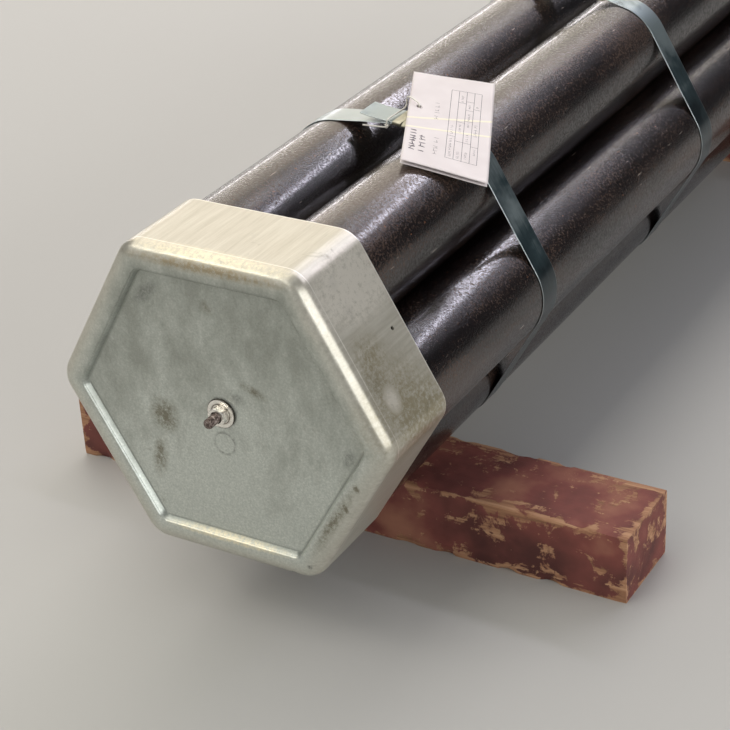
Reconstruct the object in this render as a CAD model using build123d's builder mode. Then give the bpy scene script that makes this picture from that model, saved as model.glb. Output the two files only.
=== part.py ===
"""Bundle of seven steel pipes: a close hexagonal pack with a pressed cap on each end, drawn
together by a tie rod, banded with steel strapping and laid on two timber bearers."""
import os
from math import acos, atan2, cos, degrees, radians, sin, sqrt, tan

from build123d import *

os.makedirs("parts", exist_ok=True)

# Pipes
pipe_od = 114.3
pipe_wall = 6.35
pipe_length = 1500
pipe_gap = 0.3  # between neighbouring pipes

# End caps, pressed from one sheet
cap_sheet = 1.5
cap_clearance = 1.2  # around the pack
cap_end_gap = 0.3  # between the pipe ends and the cap
cap_depth = 106.5  # from the crest of the rim to the open edge
cap_corner = 27
rim_width = 24.5
rim_height = 6.7
rim_fillet = 13.4
rim_curl_steps = 3  # flats that follow the fillet inside the rim
rim_draft = 40  # lean of the wall between the rim and its sunk panel, degrees
panel_corner = 13
screw_hole = 4.0
screw_hole_inset = 19  # from the open edge
screw_hole_side = 30  # the flat that it is in, degrees up from the right

# Tie rod with its nuts and washers
rod_diameter = 10
rod_clearance = 0.6
rod_protrusion = 14
rod_chamfer = 1.0
nut_width = 17
nut_height = 8
nut_clearance = 0.15
nut_chamfer_angle = 30
nut_turn = 12  # as tightened, degrees
washer_diameter = 30
washer_thickness = 2.5

# Strapping
strap_width = 31.75
strap_thickness = 0.9
strap_gap = 0.2
strap_places = (344.5, 771.5)  # centre lines behind the crest of the front rim
strap_rise = 6.0  # slope of the slack top run, degrees
strap_kink = 12

# Crimped seals on the straps
seal_length = 40
seal_sheet = 1.0
seal_clearance = 0.15
seal_left = 8.0  # left end, from the middle of the bundle
seal_tilt = -5.0
seal_lead = 1.5  # strap past the seal before it bends
seal_seam = 6.0  # gap between its lips, underneath
seal_bend = 0.6
notch_length = 5.0
notch_depth = 3.6
notch_stations = (0.3, 0.7)  # shares of the seal's length
tail_length = 38

# Paper tag, a folded card
tag_width = 86
tag_length = 178
tag_sheet = 0.5
tag_opening = 1.0
tag_lift = 8.3  # middle of the card above the top of the pack
tag_shift_x = 60.4
tag_shift_y = 5.7
tag_tilt = 15.8
tag_tilt_direction = -10.8
tag_spin = 23.6
tag_hole = 5
tag_hole_x = -32.6
tag_hole_y = 20.1

# String that ties the tag to the strap, with a square section. Its route is from the knot, over the
# strap, through the hole and back under the strap: x, distance behind the crest of the rim, height
# over the axis
tie_diameter = 1.6
tie_arc = 0.45  # share of the shorter run that a bend takes
tie_route = [
    (2.0, 326.6, 162.6),
    (2.3, 326.4, 166.4),
    (3.2, 329.4, 168.8),
    (5.4, 356.2, 168.8),
    (6.2, 362.0, 171.0),
    (5.9, 362.9, 176.6),
    (8.6, 360.9, 182.2),
    (18.0, 357.2, 180.6),
    (24.5, 355.9, 177.6),
    (23.2, 356.2, 171.9),
    (18.6, 359.4, 170.0),
    (11.5, 363.8, 168.2),
    (7.2, 364.2, 164.2),
    (5.4, 359.6, 161.5),
    (4.6, 351.4, 160.9),
    (3.0, 331.4, 160.6),
    (1.4, 327.0, 160.0),
    (-4.6, 326.0, 159.6),
    (-25.8, 327.2, 158.0),
]

# Timber bearers
bearer_length = 650
bearer_width = 100
bearer_height = 75
bearer_inset = 189  # from the crest of the rim to the near face
bearer_edge = 2.5
bearer_gap = 0.3

# Sizes that follow from the ones above
pitch = pipe_od + pipe_gap
row_rise = pitch * sqrt(3) / 2
pack_apothem = row_rise + pipe_od / 2
cap_apothem = pack_apothem + cap_clearance + cap_sheet
axis_height = bearer_height + bearer_gap + pack_apothem
# Inside of the rim's curl, as pairs: in from the outer face of the skirt, back from the crest
curl_radius = rim_fillet - cap_sheet
curl_turn = radians(90 / rim_curl_steps)
curl = [
    (rim_fillet - curl_radius * cos(step * curl_turn), rim_fillet - curl_radius * sin(step * curl_turn))
    for step in range(rim_curl_steps + 1)
]
# A cap goes on until the pipes meet its panel or the first flat of the curl, whichever comes first
curl_lean = (curl[0][1] - curl[1][1]) / (curl[1][0] - curl[0][0])
panel_stop = rim_height + cap_sheet
curl_stop = rim_fillet - cap_clearance * curl_lean
rim_crest = pipe_length / 2 + max(panel_stop, curl_stop) + cap_end_gap
panel_face = rim_crest - rim_height
panel_apothem = cap_apothem - rim_width
rod_end = panel_face + washer_thickness + nut_height + rod_protrusion


def section(y):
    """Plane across the bundle at y, seen from the front, with its origin on the bundle's axis."""
    return Plane(origin=(0, y, axis_height), x_dir=(1, 0, 0), z_dir=(0, -1, 0))


def hexagon(apothem, corner):
    """Hexagon with rounded corners that stands on a flat, for a sketch to add."""
    with BuildSketch(mode=Mode.PRIVATE) as outline:
        RegularPolygon(apothem, 6, major_radius=False)
        fillet(outline.vertices(), corner)
    return outline.sketch


def finish(piece, name):
    """Label a piece and write it to its own file."""
    piece.label = name
    export_step(piece, f"parts/{name}.step")


# Pipes, lying close together in rows of two, three and two
pipe_places = {
    "pipe_top_left": (-pitch / 2, row_rise),
    "pipe_top_right": (pitch / 2, row_rise),
    "pipe_middle_left": (-pitch, 0),
    "pipe_centre": (0, 0),
    "pipe_middle_right": (pitch, 0),
    "pipe_bottom_left": (-pitch / 2, -row_rise),
    "pipe_bottom_right": (pitch / 2, -row_rise),
}
for pipe_name, place in pipe_places.items():
    with BuildPart() as pipe:
        with BuildSketch(section(-pipe_length / 2)):
            with Locations(place):
                Circle(pipe_od / 2)
                Circle(pipe_od / 2 - pipe_wall, mode=Mode.SUBTRACT)
        extrude(amount=-pipe_length)
    finish(pipe.part, pipe_name)

# End cap: a hexagonal lid, one sheet thick, with a rolled rim round its sunk panel
dish_lean = tan(radians(rim_draft))
dish_mouth = rim_height * dish_lean / 2
dish_wall = cap_sheet / cos(radians(rim_draft))
with BuildPart() as cap:
    with BuildSketch(section(-rim_crest)):
        add(hexagon(cap_apothem, cap_corner))
    extrude(amount=-cap_depth)
    fillet(faces().sort_by(Axis.Y)[0].edges(), rim_fillet)
    with BuildSketch(section(-rim_crest + rim_fillet)):
        add(hexagon(cap_apothem - cap_sheet, cap_corner - cap_sheet))
    extrude(amount=rim_fillet - cap_depth, mode=Mode.SUBTRACT)
    for (inset, back), (next_inset, next_back) in zip(curl, curl[1:]):
        with BuildSketch(section(-rim_crest + back)):
            add(hexagon(cap_apothem - inset, cap_corner - inset))
        lean = degrees(atan2(next_inset - inset, back - next_back))
        extrude(amount=back - next_back, taper=lean, mode=Mode.SUBTRACT)
    with BuildSketch(section(-rim_crest)):
        add(hexagon(panel_apothem + dish_mouth + dish_wall, panel_corner + dish_mouth + dish_wall))
    extrude(amount=-rim_height - cap_sheet, taper=rim_draft)
    with BuildSketch(section(-rim_crest)):
        add(hexagon(panel_apothem + dish_mouth, panel_corner + dish_mouth))
    extrude(amount=-rim_height, taper=rim_draft, mode=Mode.SUBTRACT)
    with BuildSketch(section(-panel_face)):
        Circle((rod_diameter + rod_clearance) / 2)
    extrude(amount=-cap_sheet, mode=Mode.SUBTRACT)
    screw_angle = radians(screw_hole_side)
    screw_flat = Plane(
        origin=(0, -rim_crest + cap_depth - screw_hole_inset, axis_height),
        x_dir=(0, 1, 0),
        z_dir=(cos(screw_angle), 0, sin(screw_angle)),
    )
    with BuildSketch(screw_flat.offset(cap_apothem)):
        Circle(screw_hole / 2)
    extrude(amount=-cap_sheet - cap_clearance / 2, mode=Mode.SUBTRACT)
half_turn = Axis((0, 0, 0), (0, 0, 1))
finish(cap.part, "end_cap_front")
finish(cap.part.rotate(half_turn, 180), "end_cap_rear")

# Tie rod through the bore of the middle pipe
with BuildPart() as rod:
    with BuildSketch(section(-rod_end)):
        Circle(rod_diameter / 2)
    extrude(amount=-2 * rod_end)
    chamfer(edges().filter_by(GeomType.CIRCLE), rod_chamfer)
finish(rod.part, "tie_rod")

# Large washer under the nut
with BuildPart() as washer:
    with BuildSketch(section(-panel_face)):
        Circle(washer_diameter / 2)
        Circle((rod_diameter + rod_clearance) / 2, mode=Mode.SUBTRACT)
    extrude(amount=washer_thickness)
finish(washer.part, "washer_front")
finish(washer.part.rotate(half_turn, 180), "washer_rear")

# Hexagon nut, its corners turned off to a cone on the outer face
nut_seat = panel_face + washer_thickness
nut_corner = nut_width / sqrt(3)
cone_depth = (nut_corner - nut_width / 2) * tan(radians(nut_chamfer_angle))
with BuildPart() as nut:
    with BuildSketch(section(-nut_seat)):
        RegularPolygon(nut_width / 2, 6, major_radius=False, rotation=nut_turn)
    extrude(amount=nut_height)
    with BuildSketch(Plane(origin=(0, -nut_seat, axis_height), x_dir=(1, 0, 0), z_dir=(0, 0, 1))):
        with BuildLine():
            Polyline(
                (rod_diameter / 2 + nut_clearance, 0),
                (nut_corner, 0),
                (nut_corner, -nut_height + cone_depth),
                (nut_width / 2, -nut_height),
                (rod_diameter / 2 + nut_clearance, -nut_height),
                close=True,
            )
        make_face()
    revolve(axis=Axis((0, 0, axis_height), (0, 1, 0)), mode=Mode.INTERSECT)
finish(nut.part, "nut_front")
finish(nut.part.rotate(half_turn, 180), "nut_rear")


def touching(centre, radius, angle):
    """Line that touches a circle at an angle from +X: a point on it and its direction."""
    point = (centre[0] + radius * cos(angle), centre[1] + radius * sin(angle))
    return point, (-sin(angle), cos(angle))


def meet(line_a, line_b):
    """Where two lines, each a point and a direction, cross."""
    (ax, ay), (adx, ady) = line_a
    (bx, by), (bdx, bdy) = line_b
    t = ((bx - ax) * bdy - (by - ay) * bdx) / (adx * bdy - ady * bdx)
    return (ax + t * adx, ay + t * ady)


# Strapping: one flat band round the pack, both ends held in a seal that stands off the two top
# pipes. The lower layer ends inside the seal and the upper layer runs out of it as a free tail.
top_left, top_right = pipe_places["pipe_top_left"], pipe_places["pipe_top_right"]
band_radius = pipe_od / 2 + strap_gap
layer_step = strap_thickness + seal_clearance
lift_angle = radians(90 + strap_rise)
seal_start = meet(touching(top_left, band_radius, lift_angle), ((seal_left, 0), (0, 1)))
seal_dir = (cos(radians(seal_tilt)), sin(radians(seal_tilt)))


def along_seal(distance, height):
    """Point at a distance along the seal and a height over the underside of the lower layer."""
    return (
        seal_start[0] + distance * seal_dir[0] - height * seal_dir[1],
        seal_start[1] + distance * seal_dir[1] + height * seal_dir[0],
    )


# The upper layer leaves the seal and falls to its touching point on the top right pipe
seal_exit = along_seal(seal_length + seal_lead, layer_step)
exit_x, exit_y = seal_exit[0] - top_right[0], seal_exit[1] - top_right[1]
fall_angle = atan2(exit_y, exit_x) - acos(band_radius / sqrt(exit_x**2 + exit_y**2))


def band_run(out):
    """Corners and radii of the band's line that lies this far outside its underside."""
    sides = [
        touching((0, 0), pack_apothem + strap_gap + out, radians(angle))
        for angle in (30, -30, -90, -150, -210)
    ]
    lift_line = touching(top_left, band_radius + out, lift_angle)
    fall_line = touching(top_right, band_radius + out, fall_angle)
    lower_line = (along_seal(0, out), seal_dir)
    upper_line = (along_seal(0, layer_step + out), seal_dir)
    corners = [
        meet(upper_line, fall_line),
        meet(fall_line, sides[0]),
        *[meet(a, b) for a, b in zip(sides, sides[1:])],
        meet(sides[-1], lift_line),
        meet(lift_line, lower_line),
    ]
    ends = along_seal(-tail_length, layer_step + out), along_seal(seal_length - seal_lead, out)
    radii = [strap_kink + out] + [band_radius + out] * (len(corners) - 2) + [strap_kink + out]
    return [ends[0], *corners, ends[1]], radii


seal_rise = 2 * strap_thickness + 3 * seal_clearance
strap_ys = [
    -rim_crest + strap_places[0],
    -rim_crest + strap_places[1],
    rim_crest - strap_places[0],
]


def seal_plane(distance, y):
    """Plane across the seal, looking along it, with its first axis along the bundle."""
    x, z = along_seal(distance, 0)
    return Plane(origin=(x, y, axis_height + z), x_dir=(0, 1, 0), z_dir=(seal_dir[0], 0, seal_dir[1]))


def notches(y):
    """Blocks that nick both edges of a seal and of the strap layers in it."""
    with BuildPart(mode=Mode.PRIVATE) as cutters:
        for station in notch_stations:
            with BuildSketch(seal_plane(station * seal_length - notch_length / 2, y)):
                for side in (-1, 1):
                    with Locations((side * (strap_width / 2 + seal_sheet), seal_rise / 2)):
                        Rectangle(2 * notch_depth, seal_rise + 4 * seal_sheet)
            extrude(amount=notch_length)
    return cutters.part


for number, strap_y in enumerate(strap_ys, start=1):
    cutters = notches(strap_y)
    with BuildPart() as strap:
        with BuildSketch(section(strap_y - strap_width / 2)):
            with BuildLine():
                inside_points, inside_radii = band_run(0)
                inside = FilletPolyline(inside_points, radius=inside_radii)
                outside_points, outside_radii = band_run(strap_thickness)
                outside = FilletPolyline(outside_points, radius=outside_radii)
                Line(inside @ 0, outside @ 0)
                Line(inside @ 1, outside @ 1)
            make_face()
        extrude(amount=-strap_width)
        add(cutters, mode=Mode.SUBTRACT)
    finish(strap.part, f"strap_{number}")

    with BuildPart() as seal:
        with BuildSketch(seal_plane(0, strap_y)):
            with Locations((0, seal_rise / 2 - seal_clearance)):
                sleeve_width = strap_width + 2 * (seal_clearance + seal_sheet)
                sleeve = Rectangle(sleeve_width, seal_rise + 2 * seal_sheet)
                chamfer(sleeve.vertices(), seal_bend)
                Rectangle(strap_width + 2 * seal_clearance, seal_rise, mode=Mode.SUBTRACT)
            with Locations((0, -seal_clearance - seal_sheet)):
                Rectangle(seal_seam, 2 * seal_sheet + seal_clearance, mode=Mode.SUBTRACT)
        extrude(amount=seal_length)
        add(cutters, mode=Mode.SUBTRACT)
    finish(seal.part, f"seal_{number}")

# Tag: a card folded double, leaning on the first seal and on the top right pipe
tag_face = Plane(
    origin=(tag_shift_x, strap_ys[0] + tag_shift_y, axis_height + pack_apothem + tag_lift),
    x_dir=Vector(1, 0, 0).rotate(Axis.Z, tag_spin),
    z_dir=Vector(0, 0, 1).rotate(Axis.Y, tag_tilt).rotate(Axis.Z, tag_tilt_direction),
)
tag_profile = Plane(
    origin=tag_face.origin - tag_face.x_dir * (tag_width / 2),
    x_dir=tag_face.y_dir,
    z_dir=tag_face.x_dir,
)
fold = tag_sheet + tag_opening / 2
fold_centre = (tag_length / 2 - fold, -fold)
with BuildPart() as tag:
    with BuildSketch(tag_profile):
        with BuildLine():
            for turn_radius in (fold, fold - tag_sheet):
                upper, lower = turn_radius - fold, -turn_radius - fold
                Line((-tag_length / 2, upper), (fold_centre[0], upper))
                Line((-tag_length / 2, lower), (fold_centre[0], lower))
                CenterArc(fold_centre, turn_radius, -90, 180)
            for free_edge in (0, tag_sheet - 2 * fold):
                Line((-tag_length / 2, free_edge), (-tag_length / 2, free_edge - tag_sheet))
        make_face()
    extrude(amount=tag_width)
    with BuildSketch(tag_face):
        with Locations((tag_hole_x, tag_hole_y)):
            Circle(tag_hole / 2)
    extrude(amount=-2 * fold, mode=Mode.SUBTRACT)
finish(tag.part, "tag")

# String of the tag, as straight runs and bends as large as its runs allow
tie_points = [Vector(x, back - rim_crest, axis_height + height) for x, back, height in tie_route]
tie_runs = [end - start for start, end in zip(tie_points, tie_points[1:])]
tie_radii = [
    tie_arc * min(before.length, after.length) / tan(radians(before.get_angle(after)) / 2)
    for before, after in zip(tie_runs, tie_runs[1:])
]
with BuildPart() as tag_tie:
    with BuildLine() as tie_line:
        FilletPolyline(tie_points, radius=tie_radii)
    with BuildSketch(Plane(origin=tie_points[0], z_dir=tie_runs[0])) as tie_section:
        RegularPolygon(tie_diameter / 2, 4)
    sweep()
finish(tag_tie.part, "tag_tie")
tie_length = tie_line.wire().length
print("tag_tie radii:", *[f"{radius:.1f}" for radius in tie_radii])
print(f"tag_tie length {tie_length:.1f}, volume {tag_tie.part.volume:.1f}")
print(f"tag_tie section times length {tie_section.sketch.area * tie_length:.1f}")

# Timber bearers under the bottom row
for bearer_name, bearer_y in {
    "bearer_front": -rim_crest + bearer_inset + bearer_width / 2,
    "bearer_rear": rim_crest - bearer_inset - bearer_width / 2,
}.items():
    with BuildPart() as bearer:
        with BuildSketch(Plane.XY):
            with Locations((0, bearer_y)):
                Rectangle(bearer_length, bearer_width)
        extrude(amount=bearer_height)
        chamfer(edges().filter_by(Axis.X), bearer_edge)
    finish(bearer.part, bearer_name)
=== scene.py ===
# A bundle of seven steel pipes: two pressed end caps drawn together by a tie rod, three steel
# straps with crimped seals, a printed tag on a string and two painted timber bearers
from functools import partial
from math import acos, atan2, cos, pi, radians, sin, sqrt, tan
from random import Random

import bmesh
import bpy
from mathutils import Euler, Matrix, Vector, noise


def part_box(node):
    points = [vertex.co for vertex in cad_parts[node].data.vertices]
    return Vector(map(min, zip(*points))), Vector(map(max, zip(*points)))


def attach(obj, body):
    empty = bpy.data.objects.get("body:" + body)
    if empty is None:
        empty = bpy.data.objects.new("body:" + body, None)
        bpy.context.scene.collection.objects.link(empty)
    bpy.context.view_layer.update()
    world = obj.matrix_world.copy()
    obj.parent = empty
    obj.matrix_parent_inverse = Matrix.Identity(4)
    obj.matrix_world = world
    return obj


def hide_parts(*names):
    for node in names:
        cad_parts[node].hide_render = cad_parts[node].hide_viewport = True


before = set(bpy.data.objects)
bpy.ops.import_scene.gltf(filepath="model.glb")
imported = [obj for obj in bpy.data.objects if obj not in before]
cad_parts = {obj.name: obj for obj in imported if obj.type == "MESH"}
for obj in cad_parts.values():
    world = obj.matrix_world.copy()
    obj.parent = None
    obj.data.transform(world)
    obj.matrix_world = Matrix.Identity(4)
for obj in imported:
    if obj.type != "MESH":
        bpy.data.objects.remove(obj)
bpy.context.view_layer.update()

millimetre = 0.001


def middleOf(node):
    low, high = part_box(node)
    return Vector([(a + b) / 2 for a, b in zip(low, high)])


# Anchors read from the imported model
capLow, capHigh = (Vector(corner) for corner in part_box("end_cap_front"))
rimCrest = -capLow.y  # from the middle of the bundle to the crest of either rim
capApothem = (capHigh.z - capLow.z) / 2
axisHeight = (capHigh.z + capLow.z) / 2
pipePitch = middleOf("pipe_middle_right").x - middleOf("pipe_centre").x
rowRise = middleOf("pipe_top_right").z - axisHeight
pipeRadius = (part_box("pipe_centre")[1][0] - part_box("pipe_centre")[0][0]) / 2


# Camera, at the photograph's viewing angle
cameraSettings = {
    "lens": 98.55,
    "sensor": 36,
    "clip": (0.05, 60),
    "location": (0.93817, -1.277059 - rimCrest, 0.922141 + axisHeight),  # metres
    "turn": (60.903, 2.794, 29.792),  # degrees about X, Y and Z
}


def setCamera(settings):
    data = bpy.data.cameras.new("camera")
    data.lens = settings["lens"]
    data.sensor_width = settings["sensor"]
    data.clip_start, data.clip_end = settings["clip"]
    camera = bpy.data.objects.new("camera", data)
    camera.location = settings["location"]
    camera.rotation_euler = Euler([radians(angle) for angle in settings["turn"]])
    bpy.context.scene.collection.objects.link(camera)
    bpy.context.scene.camera = camera


setCamera(cameraSettings)
print("camera set")


# Meshes
def addMesh(name, points, faces, sharp=35, body="root"):
    mesh = bpy.data.meshes.new(name)
    mesh.from_pydata([tuple(point) for point in points], [], faces)
    mesh.validate()
    work = bmesh.new()
    work.from_mesh(mesh)
    bmesh.ops.recalc_face_normals(work, faces=work.faces)
    work.to_mesh(mesh)
    work.free()
    mesh.shade_smooth()
    mesh.set_sharp_from_angle(angle=radians(sharp))
    piece = bpy.data.objects.new(name, mesh)
    bpy.context.scene.collection.objects.link(piece)
    if body:
        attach(piece, body)
    return piece


def bridge(rings, looped=False, closed=True):
    # Quads between rings of equally many points; looped joins the last ring to the first
    count = len(rings[0])
    points = [point for ring in rings for point in ring]
    faces = []
    for row in range(len(rings) if looped else len(rings) - 1):
        here, there = row * count, (row + 1) % len(rings) * count
        for k in range(count if closed else count - 1):
            after = (k + 1) % count
            faces.append((here + k, here + after, there + after, there + k))
    return points, faces


def pierce(points, faces, centre, axis, radius, layers, walled=False):
    # Round hole through skins that lie at these depths along the axis; a wall joins the first two
    side = axis.orthogonal().normalized()
    other = axis.cross(side)
    apart = abs(layers[0] - layers[-1]) / 2
    cleared = 1.3 * radius  # faces with a corner this near give way to the hole
    points, circles, first = list(points), [], None

    def turn(k):
        offset = points[k] - centre
        return (atan2(offset.dot(other), offset.dot(side)) - (first or 0)) % (2 * pi)

    def near(face, layer):
        for k in face:
            offset = points[k] - centre
            depth = offset.dot(axis)
            if abs(depth - layer) < apart and (offset - depth * axis).length < cleared:
                return True
        return False

    for layer in layers:
        cut = [face for face in faces if near(face, layer)]
        faces = [face for face in faces if not near(face, layer)]
        kept = {k for face in faces for k in face}
        edge = sorted({k for face in cut for k in face} & kept, key=turn)
        if first is None:
            first = turn(edge[0]) - 0.1  # turns are counted from just before the first corner
        turns = [turn(k) for k in edge] + [turn(edge[0]) + 2 * pi]
        start = len(points)
        for before, after in zip(turns, turns[1:]):
            for angle in (before, (before + after) / 2):
                spoke = cos(angle + first) * side + sin(angle + first) * other
                points.append(centre + layer * axis + radius * spoke)
        count = 2 * len(edge)
        for k in range(len(edge)):
            here, there = edge[k], edge[(k + 1) % len(edge)]
            faces.append((here, there, start + (2 * k + 2) % count, start + 2 * k + 1, start + 2 * k))
        circles.append(start)
    if walled:
        outer, inner = circles
        for k in range(count):
            after = (k + 1) % count
            faces.append((outer + k, outer + after, inner + after, inner + k))
    used = sorted({k for face in faces for k in face})
    place = {k: order for order, k in enumerate(used)}
    return [points[k] for k in used], [tuple(place[k] for k in face) for face in faces], used


def alongBundle(x, y, z):
    # Point from the bundle's own axis, with y measured from its middle
    return Vector((x, y, axisHeight + z))


def behindRim(x, back, height):
    # Point from millimetres: across, behind the crest of the front rim and over the axis
    return alongBundle(x * millimetre, back * millimetre - rimCrest, height * millimetre)


def roundAxis(reach, angle, y):
    # Point of a turned piece, reach millimetres from the bundle's axis
    return alongBundle(reach * cos(angle) * millimetre, y, reach * sin(angle) * millimetre)


def allRound(count):
    # Angles of equal steps round a circle
    return [2 * pi * k / count for k in range(count)]


def quarterTurn(steps):
    return [pi / 2 * k / steps for k in range(steps + 1)]


def heading(angle):
    return Vector((cos(angle), sin(angle)))


# Materials
under, over = 6, 7  # a Mix node's two colour sockets


def linear(code):
    # sRGB hex to a linear colour
    channels = [int(code[k : k + 2], 16) / 255 for k in (1, 3, 5)]
    return [c / 12.92 if c <= 0.04045 else ((c + 0.055) / 1.055) ** 2.4 for c in channels] + [1]


def plug(node, links):
    # A linked node stands for its first output in use
    for name, source in links.items():
        if isinstance(source, bpy.types.Node):
            source = next(socket for socket in source.outputs if socket.enabled)
        node.id_data.links.new(source, node.inputs[name])


def addNode(tree, kind, values=None, links=None, stops=None, **settings):
    node = tree.nodes.new("ShaderNode" + kind)
    for name, value in settings.items():
        setattr(node, name, value)
    for name, value in (values or {}).items():
        node.inputs[name].default_value = linear(value) if isinstance(value, str) else value
    plug(node, links or {})
    if stops:
        ramp = node.color_ramp
        while len(ramp.elements) < len(stops):
            ramp.elements.new(0.5)
        for element, (place, value) in zip(ramp.elements, stops):
            element.position = place
            element.color = linear(value) if isinstance(value, str) else (value, value, value, 1)
    return node


def newMaterial(name, **constants):
    # The material, a function that adds nodes to it, and its shader
    material = bpy.data.materials.new(name)
    material.use_nodes = True
    tree = material.node_tree
    shader = tree.nodes["Principled BSDF"]
    for socket, value in constants.items():
        shader.inputs[socket.replace("_", " ")].default_value = value
    return material, partial(addNode, tree), shader


def dress(piece, material):
    piece.data.materials.clear()
    piece.data.materials.append(material)


# Tag's string: its route is the same as in the part's source
tieSettings = {
    "diameter": 1.6 * millimetre,
    "length": 158.4 * millimetre,
    "route": [  # x, distance behind the crest of the front rim, height over the axis
        (2.0, 326.6, 162.6),
        (2.3, 326.4, 166.4),
        (3.2, 329.4, 168.8),
        (5.4, 356.2, 168.8),
        (6.2, 362.0, 171.0),
        (5.9, 362.9, 176.6),
        (8.6, 360.9, 182.2),
        (18.0, 357.2, 180.6),
        (24.5, 355.9, 177.6),
        (23.2, 356.2, 171.9),
        (18.6, 359.4, 170.0),
        (11.5, 363.8, 168.2),
        (7.2, 364.2, 164.2),
        (5.4, 359.6, 161.5),
        (4.6, 351.4, 160.9),
        (3.0, 331.4, 160.6),
        (1.4, 327.0, 160.0),
        (-4.6, 326.0, 159.6),
        (-25.8, 327.2, 158.0),
    ],
}


def buildTie(settings):
    places = [behindRim(*spot) for spot in settings["route"]]
    data = bpy.data.curves.new("tagString", "CURVE")
    data.dimensions = "3D"
    data.bevel_depth = 1  # thickness comes from the points' own radius, which keeps the curve's box true
    data.bevel_resolution = 4
    data.use_fill_caps = True
    spline = data.splines.new("NURBS")
    spline.points.add(len(places) - 1)
    for point, place in zip(spline.points, places):
        point.co = (*place, 1)
        point.radius = settings["diameter"] / 2
    spline.order_u = 3
    spline.use_endpoint_u = True
    spline.resolution_u = 8
    piece = bpy.data.objects.new("tagString", data)
    bpy.context.scene.collection.objects.link(piece)
    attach(piece, "root")
    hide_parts("tag_tie")
    return piece


knotSettings = {  # millimetres
    "middle": (2.0, 326.6, 161.4),
    "size": 0.6,  # of a unit of its curve
    "thick": 1.7,
    "stations": 60,
    "sides": 10,
}


def buildKnot(settings):
    # Overhand knot where the string's two ends meet
    middle = behindRim(*settings["middle"])
    radius = settings["thick"] / 2 * millimetre
    ahead = 0.01  # how far on its direction is read

    def course(t):
        loop = Vector((sin(t) + 2 * sin(2 * t), -1.2 * sin(3 * t), cos(t) - 2 * cos(2 * t)))
        return middle + loop * settings["size"] * millimetre

    rings = []
    for t in allRound(settings["stations"]):
        along = (course(t + ahead) - course(t - ahead)).normalized()
        side = along.cross(Vector((0, 1, 0))).normalized()
        other = along.cross(side)
        spokes = [cos(turn) * side + sin(turn) * other for turn in allRound(settings["sides"])]
        rings.append([course(t) + radius * spoke for spoke in spokes])
    piece = addMesh("stringKnot", *bridge(rings, looped=True), sharp=180)
    return piece


tagString = buildTie(tieSettings)
stringKnot = buildKnot(knotSettings)
print("string tied")


# Cap
capSettings = {  # millimetres
    "sheet": 1.5,
    "depth": 106.5,  # from the crest of the rim to the open edge
    "corner": 27,  # radius of the skirt's corners
    "rimFillet": 13.4,  # radius of the rolled crest
    "rimWidth": 24.5,  # from the skirt to the middle of the rim's inner wall
    "rimHeight": 6.7,  # of that wall
    "rimSlope": (1.9, 2.8),  # how far the wall's two curves reach out and in from its middle
    "panelCorner": 13,
    "rodHole": 5.3,  # its radius
    "creaseAt": 17.5,  # faint line that the press left round the skirt
    "creaseDeep": 0.05,
    "rows": (9, 10, 12, 18),  # down the skirt, round the rim, down its inner wall, across the panel
    "panelWave": (0.35, 70, 30),  # depth and length of its swells, and how far they fade in from the rim
    "skirtWave": (0.18, 45, 30, 40),  # depth, length round and along it, and how far they fade in
    "skirtIn": 0.1,  # keeps the swells inside the true outline
    "screwHole": (4.0, 19, 30),  # across, from the open edge, degrees up from the right
}


def hexagonRing(apothem, corner, arcSteps=8, edgeSteps=14):
    # Rounded hexagon that stands on a flat, as (x, z) pairs
    reach = (apothem - corner) / cos(pi / 6)
    ring = []
    turns = [pi / 6 * (2 * k / arcSteps - 1) for k in range(arcSteps + 1)]
    for side in range(6):
        toCorner, toNext = side * pi / 3, side * pi / 3 + pi / 3
        centre = Vector((reach * cos(toCorner), reach * sin(toCorner)))
        arc = [centre + corner * heading(toCorner + turn) for turn in turns]
        nextStart = reach * heading(toNext) + corner * heading(toNext - pi / 6)
        ring += arc + [arc[-1].lerp(nextStart, k / edgeSteps) for k in range(1, edgeSteps)]
    return ring


def ease(share):
    return share * share * (3 - 2 * share)


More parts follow.
